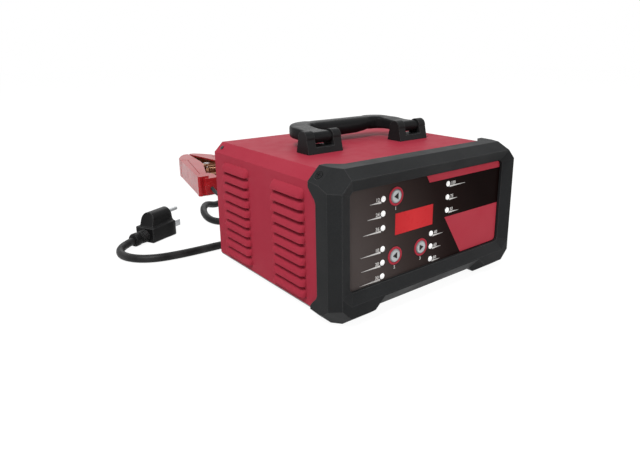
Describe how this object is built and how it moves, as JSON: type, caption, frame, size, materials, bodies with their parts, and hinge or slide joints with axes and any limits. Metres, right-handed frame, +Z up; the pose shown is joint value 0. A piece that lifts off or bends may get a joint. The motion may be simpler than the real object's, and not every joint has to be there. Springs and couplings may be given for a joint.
{
  "type": "car battery charger",
  "caption": "Bench car battery charger: red louvred steel cabinet, black faceted bezel, control panel, folding carry handle, mains lead with plug and a clamp lead.",
  "frame": {"origin": "middle of the footprint of the cabinet with its bezel and feet, on the surface it stands on", "axes": "+X to the right seen from the front, +Y from the control panel to the back, +Z up"},
  "size_m": [0.3957, 0.689, 0.1594],
  "materials": {
    "bezel_plastic": "fine moulded grain",
    "black_component": "moulded",
    "black_panel_paint": "fine matt powder coat",
    "blade_metal": "nickel plated",
    "blue_component": "moulded",
    "board_green": "solder mask",
    "bright_steel": "bright",
    "button_cap_plastic": "pale grey satin",
    "clamp_copper": "copper plated",
    "clamp_red": "glossy moulded",
    "copper_wire": "enamelled copper",
    "cord_black": "satin jacket",
    "cord_grey": "satin jacket",
    "display_black": "matt black",
    "display_lens": "translucent red window",
    "grey_plate": "zinc-grey coat",
    "handle_plastic": "fine moulded grain",
    "laminated_steel": "laminations",
    "led_clear": "frosted lens",
    "panel_film": "printed overlay film",
    "plug_black": "satin moulded",
    "red_film": "printed overlay film",
    "red_paint": "semi-gloss powder coat",
    "red_rubber": "satin",
    "rubber_black": "satin",
    "screw_steel": "dark zinc",
    "sink_aluminium": "extruded"
  },
  "bodies": {
    "charger": {"base_plate": "grey_plate", "cabinet_cover": "red_paint", "rear_panel": "black_panel_paint", "front_bezel": "bezel_plastic", "front_panel": "panel_film", "panel_trim": "red_film", "display_window": "display_lens", "display_module": "display_black", "button_rings": "red_film", "indicator_lenses": "led_clear", "control_board": "board_green", "control_board_posts": "bright_steel", "tact_switches": "black_component", "handle_bracket_left": "handle_plastic", "handle_bracket_right": "handle_plastic", "handle_pins": "bright_steel", "handle_screws": "screw_steel", "bezel_screws": "screw_steel", "cover_screws": "screw_steel", "rear_feet": "rubber_black", "fan_frame": "black_component", "fan_guard": "bright_steel", "fan_screws": "screw_steel", "main_board": "board_green", "main_board_posts": "bright_steel", "transformer_core": "laminated_steel", "transformer_coil": "copper_wire", "heat_sinks": "sink_aluminium", "capacitors": "blue_component", "output_choke": "copper_wire", "relay": "blue_component", "mains_strain_relief": "rubber_black", "positive_lead_gland": "red_rubber", "negative_lead_gland": "rubber_black", "mains_lead_start": "cord_black", "mains_lead_coil": "cord_black", "mains_lead": "cord_black", "plug_body": "plug_black", "plug_strain_relief": "plug_black", "plug_blades": "blade_metal", "plug_ground_pin": "blade_metal", "positive_lead_start": "cord_grey", "positive_lead_coil": "cord_grey", "positive_lead": "cord_grey", "clamp_shell_fixed": "clamp_red", "clamp_jaw_fixed": "clamp_copper", "clamp_lead_block": "clamp_red", "clamp_pivot": "bright_steel", "clamp_spring": "screw_steel"},
    "handle": {"handle": "handle_plastic"},
    "button_mode": {"button_mode": "button_cap_plastic"},
    "button_back": {"button_back": "button_cap_plastic"},
    "button_next": {"button_next": "button_cap_plastic"},
    "fan_rotor": {"fan_rotor": "black_component"},
    "clamp_moving_half": {"clamp_shell_moving": "clamp_red", "clamp_jaw_moving": "clamp_copper", "clamp_spring_arm": "screw_steel"}
  },
  "joints": [
    {"name": "handle_fold", "type": "hinge", "parent": "charger", "child": "handle", "pos_m": [0, -0.0055, 0.1507], "axis": [1, 0, 0], "range_deg": [0, 90]},
    {"name": "button_mode_press", "type": "slide", "parent": "charger", "child": "button_mode", "axis": [0, 1, 0], "range_m": [0, 0.001], "stiffness_N_per_m": 600, "springref_m": -0.0005},
    {"name": "button_back_press", "type": "slide", "parent": "charger", "child": "button_back", "axis": [0, 1, 0], "range_m": [0, 0.001], "stiffness_N_per_m": 600, "springref_m": -0.0005},
    {"name": "button_next_press", "type": "slide", "parent": "charger", "child": "button_next", "axis": [0, 1, 0], "range_m": [0, 0.001], "stiffness_N_per_m": 600, "springref_m": -0.0005},
    {"name": "fan_spin", "type": "hinge", "parent": "charger", "child": "fan_rotor", "pos_m": [-0.052, 0.0945, 0.084], "axis": [0, 1, 0], "continuous": true},
    {"name": "clamp_open", "type": "hinge", "parent": "charger", "child": "clamp_moving_half", "pos_m": [0.045, 0.497, 0.0165], "axis": [0, 0, -1], "range_deg": [0, 22], "stiffness_Nm_per_rad": 2.2, "springref_deg": -20.05}
  ]
}
